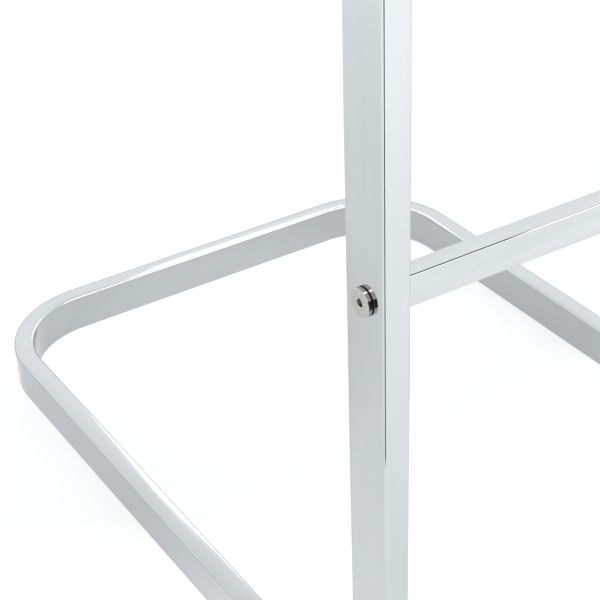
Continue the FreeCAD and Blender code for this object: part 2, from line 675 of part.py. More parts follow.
floor_loop()
for side_name, side in SIDES.items():
    upright("upright_" + side_name, side)
for bar_name in HEIGHTS:
    bar(bar_name, drilled=bar_name == "top_rail")
    bar_fasteners(bar_name)
corner_joints()
floor_glides()
upright_caps()
trouser_grip()
tray_arms()
tray()
stem()
hanger()
check_and_write()
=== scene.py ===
"""Looks of the valet stand: chromed flat tube, nickel fasteners, walnut, felt and rubber.

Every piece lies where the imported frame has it, in metres: +Z up, +X along the bars and +Y
towards the closed end of the floor loop. Places and sizes are read from the CAD nodes.
"""

import json
import math

import bmesh
import bpy
from mathutils import Matrix, Vector
from mathutils.noise import noise as noise_value


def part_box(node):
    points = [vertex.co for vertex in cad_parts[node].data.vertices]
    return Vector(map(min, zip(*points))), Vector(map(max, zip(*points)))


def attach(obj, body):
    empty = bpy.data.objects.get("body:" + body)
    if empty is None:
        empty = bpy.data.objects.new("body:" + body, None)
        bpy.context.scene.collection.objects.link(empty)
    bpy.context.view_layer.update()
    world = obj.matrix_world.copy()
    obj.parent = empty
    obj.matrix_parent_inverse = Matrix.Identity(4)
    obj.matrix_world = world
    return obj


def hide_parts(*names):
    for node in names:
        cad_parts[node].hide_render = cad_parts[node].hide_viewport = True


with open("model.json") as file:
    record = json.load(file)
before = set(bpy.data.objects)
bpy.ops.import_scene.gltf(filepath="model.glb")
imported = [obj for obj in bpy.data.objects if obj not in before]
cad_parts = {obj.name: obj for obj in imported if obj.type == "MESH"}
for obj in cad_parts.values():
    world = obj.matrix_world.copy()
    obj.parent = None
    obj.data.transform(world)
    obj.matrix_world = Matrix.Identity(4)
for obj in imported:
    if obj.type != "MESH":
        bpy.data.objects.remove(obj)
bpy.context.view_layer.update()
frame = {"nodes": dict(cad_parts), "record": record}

MM = 0.001
AXES = {"x": Vector((1, 0, 0)), "z": Vector((0, 0, 1))}
WELD = 0.001 * MM
BARS = ("crossbar", "trouser_bar", "top_rail")
SIDES = ("left", "right")


# ---------------------------------------------------------------- places read from the frame

def solids(node):
    """The box of each separate solid in a CAD node, as (lowest corner, highest corner)."""
    bm = bmesh.new()
    bm.from_mesh(frame["nodes"][node].data)
    bmesh.ops.remove_doubles(bm, verts=bm.verts, dist=WELD)
    waiting = set(bm.verts)
    boxes = []
    for start in list(bm.verts):
        if start not in waiting:
            continue
        waiting.discard(start)
        island = [start]
        for vert in island:
            for edge in vert.link_edges:
                other = edge.other_vert(vert)
                if other in waiting:
                    waiting.discard(other)
                    island.append(other)
        places = [vert.co for vert in island]
        boxes.append((Vector([min(p[i] for p in places) for i in range(3)]),
                      Vector([max(p[i] for p in places) for i in range(3)])))
    bm.free()
    return boxes


def middle(low, high):
    """The centre of a box."""
    return (low + high) / 2


def facing(direction, origin):
    """The matrix that turns a piece built along +Z to a direction, and moves it to its place."""
    turn = direction.to_track_quat("Z", "Y").to_matrix().to_4x4()
    return Matrix.Translation(origin) @ turn


# ---------------------------------------------------------------- outlines and meshes

ROUND = 60
FINE_ROUND = 96
COARSE_ROUND = 40
TURNED_STEPS = 72


def rounded_rectangle(width, height, radius, steps=6):
    """Points around a rectangle with round corners, centred on (0, 0)."""
    points = []
    for quarter in range(4):
        across = 1 if quarter in (0, 3) else -1
        up = 1 if quarter < 2 else -1
        for step in range(steps + 1):
            angle = (quarter + step / steps) * math.pi / 2
            points.append((across * (width / 2 - radius) + radius * math.cos(angle),
                           up * (height / 2 - radius) + radius * math.sin(angle)))
    return points


def crowned(width, height, radius, crown, cuts=10):
    """A rounded rectangle whose two narrow faces, above and below, swell a little."""
    points = []
    outline = rounded_rectangle(width, height, radius)
    for here, there in zip(outline, outline[1:] + outline[:1]):
        parts = cuts if here[1] * there[1] > 0 and math.dist(here, there) > radius else 1
        for i in range(parts):
            points.append(tuple(a + (b - a) * i / parts for a, b in zip(here, there)))
    return [(u, v - math.copysign(crown * (2 * u / width) ** 2, v)) for u, v in points]


def circle(radius, height, count=ROUND):
    """Points round a level circle on the Z axis."""
    return [Vector((radius * math.cos(2 * math.pi * i / count),
                    radius * math.sin(2 * math.pi * i / count), height)) for i in range(count)]


def hexagon(radius, height):
    """A hexagon with as many points as the circles that it joins."""
    points = []
    for i in range(ROUND):
        angle = 2 * math.pi * i / ROUND
        within = angle % (math.pi / 3) - math.pi / 6
        reach = radius * math.cos(math.pi / 6) / math.cos(within)
        points.append(Vector((reach * math.cos(angle), reach * math.sin(angle), height)))
    return points


def add_rings(bm, rings, matrix=Matrix(), closed=False):
    """Joins rings of equal length with quads, then closes both ends or joins the last to the first."""
    rows = [[bm.verts.new(matrix @ Vector(point)) for point in ring] for ring in rings]
    for near, far in zip(rows, rows[1:] + rows[:1] if closed else rows[1:]):
        for i in range(len(near)):
            j = (i + 1) % len(near)
            bm.faces.new((near[i], near[j], far[j], far[i]))
    if not closed:
        bm.faces.new(reversed(rows[0]))
        bm.faces.new(rows[-1])


def add_block(bm, low, high):
    """A box between two corners."""
    size = high - low
    matrix = Matrix.Translation(middle(low, high)) @ Matrix.Diagonal((*size, 1))
    bmesh.ops.create_cube(bm, size=1, matrix=matrix)


def linked(name, bm):
    """Turns a bmesh into an object of the scene."""
    mesh = bpy.data.meshes.new(name)
    bm.to_mesh(mesh)
    bm.free()
    obj = bpy.data.objects.new(name, mesh)
    bpy.context.scene.collection.objects.link(obj)
    return obj


def piece(name, bm, body, material, nodes, sharp=35, bevel=0):
    """Turns a bmesh into a finished piece that stands for its CAD nodes."""
    bmesh.ops.recalc_face_normals(bm, faces=bm.faces)
    obj = linked(name, bm)
    obj.data.shade_smooth()
    obj.data.set_sharp_from_angle(angle=math.radians(sharp))
    obj.data.materials.append(material)
    if bevel:
        rounding = obj.modifiers.new("edges", "BEVEL")
        rounding.width = bevel
        rounding.segments = 3
        rounding.limit_method = "ANGLE"
        rounding.harden_normals = False
    weighted = obj.modifiers.new("normals", "WEIGHTED_NORMAL")
    weighted.keep_sharp = not bevel
    weighted.weight = 100
    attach(obj, body)
    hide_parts(*nodes)
    return obj


# ---------------------------------------------------------------- materials

def new_material(name, **settings):
    """A new material and its shader, with the shader's own sockets set."""
    material = bpy.data.materials.new(name)
    material.use_nodes = True
    shader = material.node_tree.nodes["Principled BSDF"]
    for key, value in settings.items():
        shader.inputs[key.replace("_", " ")].default_value = value
    return material, shader


def add_node(material, kind, inputs=None, **settings):
    """Adds a node; an input is a plain value or another node's output."""
    item = material.node_tree.nodes.new("ShaderNode" + kind)
    for key, value in settings.items():
        setattr(item, key, value)
    for key, value in (inputs or {}).items():
        if isinstance(value, bpy.types.NodeSocket):
            material.node_tree.links.new(value, item.inputs[key])
        else:
            item.inputs[key].default_value = value
    return item


def place(material, stretch=(1, 1, 1)):
    """The point on the piece, in metres, stretched along the three axes."""
    coordinates = add_node(material, "TexCoord")
    mapping = add_node(material, "Mapping", {"Vector": coordinates.outputs["Object"], "Scale": stretch})
    return mapping.outputs["Vector"]


def noise(material, vector, scale, detail=3, roughness=0.5):
    """Soft noise between 0 and 1."""
    item = add_node(material, "TexNoise", {"Vector": vector, "Scale": scale, "Detail": detail,
                                           "Roughness": roughness})
    return item.outputs["Fac"]


def spread(material, value, low, high, start=0.3, end=0.7):
    """Maps a value from start..end to low..high."""
    item = add_node(material, "MapRange", {"Value": value, "From Min": start, "From Max": end,
                                           "To Min": low, "To Max": high})
    return item.outputs["Result"]


def colours(material, value, *stops):
    """A colour ramp; each stop is (position, (r, g, b))."""
    item = add_node(material, "ValToRGB", {"Fac": value})
    elements = item.color_ramp.elements
    while len(elements) < len(stops):
        elements.new(0.5)
    for element, (position, colour) in zip(elements, stops):
        element.position = position
        element.color = (*colour, 1)
    return item.outputs["Color"]


def wire(material, value, shader, socket):
    """Joins a node's output to a socket of the shader."""
    material.node_tree.links.new(value, shader.inputs[socket])


def surface(material, shader, colour, roughness, relief, depth):
    """Gives a material its colour, its roughness and a bump of some depth."""
    wire(material, colour, shader, "Base Color")
    if roughness:
        wire(material, roughness, shader, "Roughness")
    bump = add_node(material, "Bump", {"Height": relief, "Distance": depth})
    wire(material, bump.outputs["Normal"], shader, "Normal")
    return material


def chrome(name, stretch, rough_low, rough_high, haze=0.015):
    """Chrome plate, nearly clean: a faint haze and a ripple, stretched along the tube."""
    material, shader = new_material(name, Metallic=1.0)
    streaks = noise(material, place(material, stretch), 1, 4, 0.55)
    shade = [value * (1 - haze) for value in CHROME]
    tint = [value * (1 + haze) for value in CHROME]
    return surface(material, shader, colours(material, streaks, (0.3, shade), (0.7, tint)),
                   spread(material, streaks, rough_low, rough_high), streaks, 0.004 * MM)


def turned_nickel():
    """Warm nickel plate with a fine mottle; the rings from the lathe are in the mesh."""
    material, shader = new_material("turned_nickel", Metallic=1.0)
    mottle = noise(material, place(material), 1500, 4, 0.6)
    colour = colours(material, mottle, (0.3, (0.31, 0.30, 0.275)), (0.7, (0.49, 0.48, 0.45)))
    return surface(material, shader, colour, spread(material, mottle, 0.07, 0.20), mottle, 0.02 * MM)


def zinc_plate():
    """Dull bluish zinc with a soft spangle."""
    material, shader = new_material("zinc_plate", Metallic=1.0)
    spangle = add_node(material, "TexVoronoi", {"Vector": place(material), "Scale": 260})
    tone = spangle.outputs["Distance"]
    colour = colours(material, tone, (0.1, (0.50, 0.53, 0.56)), (0.8, (0.63, 0.65, 0.67)))
    return surface(material, shader, colour, spread(material, tone, 0.32, 0.5, 0, 1), tone, 0.01 * MM)


def blackened_steel():
    """Dark oil-blackened steel."""
    material, shader = new_material("spring_steel", Metallic=1.0)
    grain = noise(material, place(material), 1800, 3)
    colour = colours(material, grain, (0.3, (0.045, 0.045, 0.048)), (0.7, (0.12, 0.12, 0.125)))
    return surface(material, shader, colour, spread(material, grain, 0.28, 0.42), grain, 0.02 * MM)


def moulded(name, dark, light, rough_low, rough_high, grain_size, depth):
    """A moulded plastic or rubber with a fine grain."""
    material, shader = new_material(name)
    point = place(material)
    tone = noise(material, point, 90, 3)
    grain = noise(material, point, grain_size, 3, 0.6)
    return surface(material, shader, colours(material, tone, (0.3, dark), (0.7, light)),
                   spread(material, grain, rough_low, rough_high), grain, depth)


def walnut():
    """Oiled walnut: long gentle grain along X, fine fibres and short open pores."""
    material, shader = new_material("walnut", Coat_Weight=0.12, Coat_Roughness=0.35)
    warp = add_node(material, "TexNoise", {"Vector": place(material, (0.9, 9, 9)), "Scale": 2.2,
                                           "Detail": 2.0})
    bent = add_node(material, "MixRGB", {"Fac": 0.16, "Color1": place(material, (1.6, 62, 62)),
                                         "Color2": warp.outputs["Color"]}, blend_type="ADD")
    growth = noise(material, bent.outputs["Color"], 1.0, 4, 0.55)
    fibre = noise(material, place(material, (14, 900, 900)), 1, 4, 0.6)
    pores = noise(material, place(material, (75, 2200, 2200)), 1, 2, 0.5)
    grain = colours(material, growth, (0.30, (0.055, 0.027, 0.014)), (0.46, (0.105, 0.053, 0.027)),
                    (0.58, (0.145, 0.076, 0.039)), (0.72, (0.195, 0.107, 0.056)))
    shade = colours(material, fibre, (0.3, (0.80, 0.78, 0.76)), (0.65, (1.0, 1.0, 1.0)))
    mixed = add_node(material, "Mix", {0: 1.0, 6: grain, 7: shade}, data_type="RGBA",
                     blend_type="MULTIPLY")
    pitted = add_node(material, "Mix", {0: spread(material, pores, 0.0, 0.6, 0.60, 0.70),
                                        6: mixed.outputs[2], 7: (0.035, 0.018, 0.01, 1)},
                      data_type="RGBA")
    return surface(material, shader, pitted.outputs[2], spread(material, fibre, 0.50, 0.36),
                   spread(material, pores, 1.0, 0.0, 0.55, 0.75), 0.05 * MM)


def wool_felt():
    """Pressed grey wool: matted fibres in slightly different greys."""
    material, shader = new_material("wool_felt", Roughness=0.95, Sheen_Weight=0.35, Sheen_Roughness=0.5)
    point = place(material)
    fibres = noise(material, point, 900, 6, 0.75)
    clumps = noise(material, point, 120, 3)
    tone = add_node(material, "Math", {0: fibres, 1: spread(material, clumps, -0.08, 0.08)},
                    operation="ADD").outputs["Value"]
    colour = colours(material, tone, (0.3, (0.085, 0.09, 0.095)), (0.5, (0.16, 0.165, 0.17)),
                     (0.72, (0.26, 0.265, 0.27)))
    return surface(material, shader, colour, None, fibres, 0.35 * MM)


CHROME = (0.439, 0.458, 0.470)
LOOP_CHROME = chrome("polished_chrome_loop", (30, 30, 120), 0.09, 0.13)
POST_CHROME = chrome("polished_chrome_post", (160, 160, 6), 0.04, 0.08)
BAR_CHROME = chrome("polished_chrome_bar", (14, 150, 150), 0.03, 0.07, haze=0.045)
PLAIN_CHROME = chrome("polished_chrome", (60, 60, 60), 0.04, 0.08)
NICKEL = turned_nickel()
ZINC = zinc_plate()
DARK_STEEL = blackened_steel()
CAP_GREY = moulded("grey_plastic", (0.40, 0.41, 0.42), (0.46, 0.47, 0.48), 0.32, 0.46, 1400, 0.02 * MM)
GLIDE_GREY = moulded("glide_plastic", (0.56, 0.57, 0.57), (0.64, 0.65, 0.65), 0.42, 0.58, 900, 0.02 * MM)
RUBBER = moulded("black_rubber", (0.022, 0.022, 0.023), (0.04, 0.04, 0.042), 0.58, 0.78, 1100, 0.05 * MM)
NYLON = moulded("black_nylon", (0.035, 0.035, 0.036), (0.055, 0.055, 0.056), 0.38, 0.5, 1300, 0.02 * MM)
WALNUT = walnut()
FELT = wool_felt()


# ---------------------------------------------------------------- frame tubes

TUBE_EDGE = 1.6 * MM
BAR_EDGE = 1.0 * MM
TUBE_CROWN = 0.35 * MM
POST_CROWN = 0.05 * MM
LOOP_RADIUS = 77 * MM
BEND_STEPS = 40


def floor_loop():
    """The U-shaped tube, with mitred front ends."""
    low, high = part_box("floor_loop")
    post_low, post_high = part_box("upright_left")
    thickness = post_high.x - post_low.x
    height = high.z - low.z
    section = crowned(thickness, height, TUBE_EDGE, TUBE_CROWN)
    radius = LOOP_RADIUS - thickness / 2
    left = low.x + thickness / 2
    right = high.x - thickness / 2
    back = high.y - thickness / 2
    stations = []
    for centre_x, first in ((left + radius, 180), (right - radius, 90)):
        for step in range(BEND_STEPS + 1):
            angle = math.radians(first - 90 * step / BEND_STEPS)
            out = Vector((math.cos(angle), math.sin(angle), 0))
            stations.append((Vector((centre_x, back - radius, 0)) + radius * out, out))
    stations.insert(0, (Vector((left, low.y, 0)), Vector((-1, 0, 0))))
    stations.append((Vector((right, low.y, 0)), Vector((1, 0, 0))))
    rings = []
    for spot, out in stations:
        rings.append([spot + out * u + AXES["z"] * (middle(low, high).z + v) for u, v in section])
    for ring in (rings[0], rings[-1]):
        for point in ring:
            point.y = low.y + (point.z - low.z)
    bm = bmesh.new()
    add_rings(bm, rings)
    piece("floor_loop_tube", bm, "frame", LOOP_CHROME, ["floor_loop"])


def uprights():
    """Two straight tubes, each mitred at its foot to meet the loop."""
    for side in SIDES:
        low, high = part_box("upright_" + side)
        centre = middle(low, high)
        section = crowned(high.x - low.x, high.y - low.y, TUBE_EDGE, POST_CROWN)
        foot = [Vector((centre.x + u, centre.y + v, low.z + centre.y + v - low.y)) for u, v in section]
        top = [Vector((centre.x + u, centre.y + v, high.z)) for u, v in section]
        bm = bmesh.new()
        add_rings(bm, [foot, top])
        piece("upright_tube_" + side, bm, "frame", POST_CHROME, ["upright_" + side])


def bars():
    """Three rectangular tubes with sharp edges, between the uprights."""
    for name in BARS:
        low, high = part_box(name)
        centre = middle(low, high)
        section = rounded_rectangle(high.y - low.y, high.z - low.z, BAR_EDGE, 4)
        rings = [[Vector((x, centre.y + u, centre.z + v)) for u, v in section] for x in (low.x, high.x)]
        bm = bmesh.new()
        add_rings(bm, rings)
        piece(name + "_tube", bm, "frame", BAR_CHROME, [name])


# ---------------------------------------------------------------- fasteners

TIP = 0.4 * MM
RELIEF = 0.15 * MM
DRILL_POINT = 0.25 * MM
GROOVE = 0.025 * MM
GROOVE_PROFILE = ((0.3, 0), (0.65, GROOVE), (1.0, 0))
DOME_STEPS = 6
MOUTH_WIDER, EDGE_WIDER, EDGE_DEEPER = 0.5, 0.2, 0.7
DRILL_SHARE = 0.6
BOLT = {"shank": 2.95 * MM, "head": 2.3 * MM, "rim": 0.55 * MM, "shoulder": 0.5 * MM,
        "socket": 2.31 * MM, "depth": 3.2 * MM, "countersink": 0.5 * MM, "grooves": 6}
BUTTON = {"shank": 2.4 * MM, "head": 2.6 * MM, "rim": 2.1 * MM, "shoulder": 1.9 * MM,
          "socket": 1.73 * MM, "depth": 3.2 * MM, "countersink": 0.2 * MM, "grooves": 2}
TRAY_SCREW = {"shank": 1.7 * MM, "head": 2.0 * MM, "rim": 1.1 * MM, "shoulder": 1.4 * MM,
              "socket": 1.4 * MM, "depth": 1.0 * MM, "countersink": 0.15 * MM, "grooves": 2}


def add_screw(bm, matrix, length, radius, kind):
    """A socket screw whose head ends at z = 0 and whose tip is at z = -length.

    The head has a domed rim, fine grooves from the lathe and an eased socket.
    """
    under = -kind["head"]
    rings = [circle(kind["shank"] - TIP, -length), circle(kind["shank"], TIP - length),
             circle(kind["shank"], under), circle(radius - RELIEF, under), circle(radius, under + RELIEF)]
    for step in range(DOME_STEPS + 1):
        turn = step / DOME_STEPS * math.pi / 2
        rings.append(circle(radius - kind["rim"] * (1 - math.cos(turn)),
                            kind["shoulder"] * (math.sin(turn) - 1)))
    crown = radius - kind["rim"]
    mouth = kind["socket"] + MOUTH_WIDER * kind["countersink"]
    for groove in range(kind["grooves"]):
        for share, drop in GROOVE_PROFILE:
            reach = crown + (mouth - crown) * (groove + share) / kind["grooves"]
            rings.append(circle(reach, -drop))
    rings.append(hexagon(kind["socket"] + EDGE_WIDER * kind["countersink"],
                         -EDGE_DEEPER * kind["countersink"]))
    rings.append(hexagon(kind["socket"], -kind["countersink"]))
    rings.append(hexagon(kind["socket"], DRILL_POINT - kind["depth"]))
    rings.append(circle(kind["socket"] * DRILL_SHARE, -kind["depth"]))
    add_rings(bm, rings, matrix)


def add_turned(bm, matrix, section):
    """A closed section of (radius, height) points, carried once round the Z axis."""
    rings = []
    for step in range(TURNED_STEPS):
        turn = math.radians(360 * step / TURNED_STEPS)
        rings.append([Vector((r * math.cos(turn), r * math.sin(turn), z)) for r, z in section])
    add_rings(bm, rings, matrix, closed=True)


def ring_section(inner, outer, low, high, ease):
    """The rounded rectangle that a washer or a round tube has for its section."""
    return [((inner + outer) / 2 + u, (low + high) / 2 + v)
            for u, v in rounded_rectangle(outer - inner, high - low, ease, 3)]


def sideways(low, high, way):
    """Where a fastener along X ends on its outer (way 1) or inner (way -1) side, facing that way."""
    centre = middle(low, high)
    facing_x = way if centre.x > 0 else -way
    end = high.x if facing_x > 0 else low.x
    return facing(AXES["x"] * facing_x, Vector((end, centre.y, centre.z)))


def screws(node, kind, way):
    """Every screw of a node, as one piece."""
    bm = bmesh.new()
    for low, high in solids(node):
        add_screw(bm, sideways(low, high, way), high.x - low.x, (high.y - low.y) / 2, kind)
    piece(node + "_turned", bm, "frame", NICKEL, [node], sharp=25)


WASHER_BORE = 3.3 * MM
WASHER_EASE = 0.12 * MM


def bar_fasteners():
    """The bolts and thin dark washers at the ends of the three bars."""
    for bar in BARS:
        screws(bar + "_bolts", BOLT, 1)
        bm = bmesh.new()
        for low, high in solids(bar + "_washers"):
            section = ring_section(WASHER_BORE, (high.y - low.y) / 2, low.x - high.x, 0, WASHER_EASE)
            add_turned(bm, sideways(low, high, 1), section)
        piece(bar + "_washer_rings", bm, "frame", DARK_STEEL, [bar + "_washers"])


def upright_caps():
    """A plastic plug with a softly crowned lid on each upright."""
    bm = bmesh.new()
    for low, high in solids("upright_caps"):
        centre = middle(low, high)
        wide, deep = high.x - low.x, high.y - low.y
        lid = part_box("upright_left")[1].z
        rings = []
        # Each ring: its inset in millimetres, its height, and its corner radius in millimetres.
        for inset, height, corner in ((2.1, low.z, 0.4), (1.75, low.z + 0.5 * MM, 0.5), (1.75, lid, 0.5),
                                      (0.05, lid, 1.55), (0, lid + 0.2 * MM, 1.6),
                                      (0.05, high.z - 0.7 * MM, 1.55), (0.3, high.z - 0.3 * MM, 1.5),
                                      (0.9, high.z - 0.06 * MM, 1.2), (2.2, high.z, 0.8)):
            outline = rounded_rectangle(wide - 2 * inset * MM, deep - 2 * inset * MM, corner * MM, 5)
            rings.append([Vector((centre.x + u, centre.y + v, height)) for u, v in outline])
        add_rings(bm, rings)
    piece("upright_cap_lids", bm, "frame", CAP_GREY, ["upright_caps"])


def floor_glides():
    """Small round pads with rounded rims, each with a stem up into the tube."""
    bm = bmesh.new()
    tube_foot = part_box("floor_loop")[0].z
    for low, high in solids("floor_glides"):
        centre = middle(low, high)
        radius = (high.x - low.x) / 2
        profile = [(radius - 0.6 * MM, 0), (radius - 0.2 * MM, 0.12 * MM), (radius, 0.6 * MM),
                   (radius, tube_foot - 0.1 * MM), (radius - 0.1 * MM, tube_foot),
                   (radius / 2, tube_foot), (radius / 2, high.z - 0.4 * MM),
                   (radius / 2 - 0.4 * MM, high.z)]
        matrix = Matrix.Translation((centre.x, centre.y, low.z))
        add_rings(bm, [circle(r, z, COARSE_ROUND) for r, z in profile], matrix)
    piece("glide_pads", bm, "frame", GLIDE_GREY, ["floor_glides"])


# ---------------------------------------------------------------- grip, tray and arms

RIB_PITCH = 4 * MM
RIB_DEPTH = 0.55 * MM
# One rib: the place as a share of the pitch, and the depth as a share of RIB_DEPTH.
RIB_PROFILE = ((0.50, 0.0), (0.32, 0.0), (0.18, 0.35), (0.06, 0.9), (-0.06, 1.0), (-0.18, 0.7),
               (-0.32, 0.15))
GRIP_COLLAR = 9 * MM
GRIP_EDGE = 3.5 * MM
GRIP_WALL = 1.95 * MM


def trouser_grip():
    """A rubber sleeve on the trouser bar, with fine ribs between two plain collars."""
    low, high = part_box("trouser_bar_grip")
    centre = middle(low, high)
    half = high.x - centre.x
    stations = [(half, 0.5 * MM), (half - 0.15 * MM, 0.15 * MM), (half - 0.6 * MM, 0)]
    ribs = int((half - GRIP_COLLAR) / RIB_PITCH)
    for rib in range(ribs, 0, -1):
        crest = rib * RIB_PITCH
        for share, drop in RIB_PROFILE:
            stations.append((crest + share * RIB_PITCH, drop * RIB_DEPTH))
    stations += [(-x, drop) for x, drop in reversed(stations)]

    def outline(x, inset, corner):
        points = rounded_rectangle(high.y - low.y - 2 * inset, high.z - low.z - 2 * inset, corner, 6)
        return [Vector((x, centre.y + u, centre.z + v)) for u, v in points]

    rings = [outline(x, inset, GRIP_EDGE - inset / 2) for x, inset in stations]
    rings += [outline(x, GRIP_WALL, 0.6 * MM) for x in (-half, half)]
    bm = bmesh.new()
    add_rings(bm, rings, closed=True)
    piece("trouser_grip_sleeve", bm, "frame", RUBBER, ["trouser_bar_grip"], sharp=50)


ARM_STEEL = 3 * MM
ARM_EASE = 0.7 * MM
SHELF_INSET = 4 * MM


def tray_arms():
    """Two bent steel strips: a plate against the upright and a shelf under the tray."""
    tray_low, tray_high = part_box("tray")
    for side, way in zip(SIDES, (-1, 1)):
        low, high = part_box("tray_arm_" + side)
        outer, inner = (high.x, low.x) if way > 0 else (low.x, high.x)
        plate = sorted((outer, outer - way * ARM_STEEL))
        shelf = sorted((outer, inner))
        bm = united(((Vector((plate[0], low.y, low.z)), Vector((plate[1], high.y, high.z))),
                     (Vector((shelf[0], tray_low.y + SHELF_INSET, low.z)),
                      Vector((shelf[1], tray_high.y - SHELF_INSET, low.z + ARM_STEEL)))))
        piece("tray_arm_strip_" + side, bm, "frame", PLAIN_CHROME, ["tray_arm_" + side],
              bevel=ARM_EASE)


def united(blocks):
    """One closed mesh of overlapping boxes."""
    scratch = []
    for low, high in blocks:
        bm = bmesh.new()
        add_block(bm, low, high)
        scratch.append(linked("block", bm))
    for other in scratch[1:]:
        combine(scratch[0], "UNION", other)
    return baked(*scratch)


def combine(obj, operation, other):
    """Adds an exact boolean with another object."""
    step = obj.modifiers.new("boolean", "BOOLEAN")
    step.operation = operation
    step.object = other
    step.solver = "EXACT"


def baked(obj, *others):
    """The mesh of an object with its modifiers; it and the others that they use are then removed."""
    bpy.context.view_layer.update()
    mesh = bpy.data.meshes.new_from_object(obj.evaluated_get(bpy.context.evaluated_depsgraph_get()))
    bm = bmesh.new()
    bm.from_mesh(mesh)
    bpy.data.meshes.remove(mesh)
    for thing in (obj, *others):
        data = thing.data
        bpy.data.objects.remove(thing)
        bpy.data.meshes.remove(data)
    return bm


TRAY_CORNER = 8 * MM


def tray():
    """The walnut tray: eased rim and foot, and a small fillet where walls meet the floor."""
    low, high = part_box("tray")
    centre = middle(low, high)
    wide, deep = high.x - low.x, high.y - low.y
    floor_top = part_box("tray_liner")[0].z
    stations = []
    # The foot, the rim and the fillet inside: insets from the outer wall and heights, in millimetres.
    for inset, height in ((1.0, 0), (0.3, 0.25), (0, 0.9)):
        stations.append((inset * MM, low.z + height * MM))
    for inset, drop in ((0, 1.1), (0.25, 0.35), (0.8, 0.03), (2.2, 0.03), (2.75, 0.35), (3.0, 1.1)):
        stations.append((inset * MM, high.z - drop * MM))
    for inset, height in ((3.0, 0.45), (3.12, 0.12), (3.45, 0)):
        stations.append((inset * MM, floor_top + height * MM))
    rings = []
    for inset, height in stations:
        outline = rounded_rectangle(wide - 2 * inset, deep - 2 * inset, TRAY_CORNER - inset, 10)
        rings.append([Vector((centre.x + u, centre.y + v, height)) for u, v in outline])
    bm = bmesh.new()
    add_rings(bm, rings)
    piece("tray_walnut", bm, "frame", WALNUT, ["tray"], sharp=60)


LINER_CORNER = 5 * MM
LINER_EDGE = 0.8 * MM
LINER_CELL = 2.5 * MM
FELT_RELIEF = 0.16 * MM


def liner_height(x, y, half_wide, half_deep, thickness):
    """The felt's upper surface: matted and uneven, and rounded down at its rim."""
    rim = min(half_wide - abs(x), half_deep - abs(y))
    uneven = FELT_RELIEF * (noise_value(Vector((x, y, 0)) * 60) + 0.5 * noise_value(Vector((x, y, 7)) * 420))
    body = thickness - 1.6 * FELT_RELIEF + uneven
    if rim >= LINER_EDGE:
        return body
    share = 1 - max(rim, 0) / LINER_EDGE
    return body - 0.7 * LINER_EDGE * (1 - math.sqrt(max(0.0, 1 - share * share)))


def tray_liner():
    """A loose pad of wool felt, cut with round corners."""
    low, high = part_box("tray_liner")
    centre = middle(low, high)
    half_wide, half_deep = (high.x - low.x) / 2, (high.y - low.y) / 2
    flat_run = half_deep - LINER_CORNER
    rows = [half_deep - LINER_CORNER * (1 - math.sin(i / 8 * math.pi / 2)) for i in range(9)]
    count = int(2 * flat_run / LINER_CELL)
    inner = [flat_run * (2 * i / count - 1) for i in range(1, count)]
    rows = [-y for y in reversed(rows)] + inner + rows
    across = int(2 * half_wide / LINER_CELL)
    bm = bmesh.new()
    tops, feet = [], []
    for y in rows:
        past = max(0.0, abs(y) - flat_run)
        reach = half_wide - LINER_CORNER + math.sqrt(max(0.0, LINER_CORNER ** 2 - past ** 2))
        top_row, foot_row = [], []
        for i in range(across + 1):
            x = reach * (2 * i / across - 1)
            height = liner_height(x * half_wide / reach, y, half_wide, half_deep, high.z - low.z)
            top_row.append(bm.verts.new((centre.x + x, centre.y + y, low.z + height)))
            foot_row.append(bm.verts.new((centre.x + x, centre.y + y, low.z)))
        tops.append(top_row)
        feet.append(foot_row)
    for grid in (tops, feet):
        for near, far in zip(grid, grid[1:]):
            for i in range(across):
                bm.faces.new((near[i], near[i + 1], far[i + 1], far[i]))
    rim = [(j, 0) for j in range(len(rows))] + [(len(rows) - 1, i) for i in range(1, across + 1)]
    rim += [(j, across) for j in range(len(rows) - 2, -1, -1)] + [(0, i) for i in range(across - 1, 0, -1)]
    for (j, i), (n, m) in zip(rim, rim[1:] + rim[:1]):
        bm.faces.new((tops[j][i], tops[n][m], feet[n][m], feet[j][i]))
    felt = piece("tray_felt", bm, "frame", FELT, ["tray_liner"], sharp=60)


# ---------------------------------------------------------------- stem, swivel and hanger

STEM_WALL = 1.5 * MM
STEM_EASE = 0.35 * MM
STEM_CLEARANCE = 0.05 * MM
NYLON_EASE = 0.15 * MM
NYLON_INSET = 0.3 * MM
PIN_RADIUS = 5 * MM
FLANGE_EASE = 0.4 * MM


def radius_of(node):
    """The radius of an upright round node."""
    low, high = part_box(node)
    return (high.x - low.x) / 2


def stem_rings():
    """The round stem, the washer of its bolt and the friction washer on top of it."""
    stem = radius_of("hanger_stem")
    washer = radius_of("stem_washer")
    friction = radius_of("friction_washer") - NYLON_INSET
    for node, inner, outer, ease, material, slot in (
            ("hanger_stem", stem - STEM_WALL, stem, STEM_EASE, PLAIN_CHROME, "chrome_tube"),
            ("stem_washer", WASHER_BORE, washer, WASHER_EASE, NICKEL, "nickel_steel"),
            ("friction_washer", PIN_RADIUS, friction, NYLON_EASE, NYLON, "black_nylon")):
        low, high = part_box(node)
        bm = bmesh.new()
        add_turned(bm, Matrix.Translation((*middle(low, high).xy, 0)),
                   ring_section(inner, outer, low.z, high.z, ease))
        piece(node + "_turned", bm, "frame", material, [node])


def screws_from_below():
    """The bolt that holds the stem, and the screws that hold the tray, with their heads down."""
    for node, kind in (("stem_bolt", BOLT), ("tray_screws", TRAY_SCREW)):
        bm = bmesh.new()
        for low, high in solids(node):
            centre = middle(low, high)
            matrix = facing(-AXES["z"], Vector((centre.x, centre.y, low.z)))
            add_screw(bm, matrix, high.z - low.z, (high.x - low.x) / 2, kind)
        piece(node + "_turned", bm, "frame", NICKEL, [node], sharp=25)


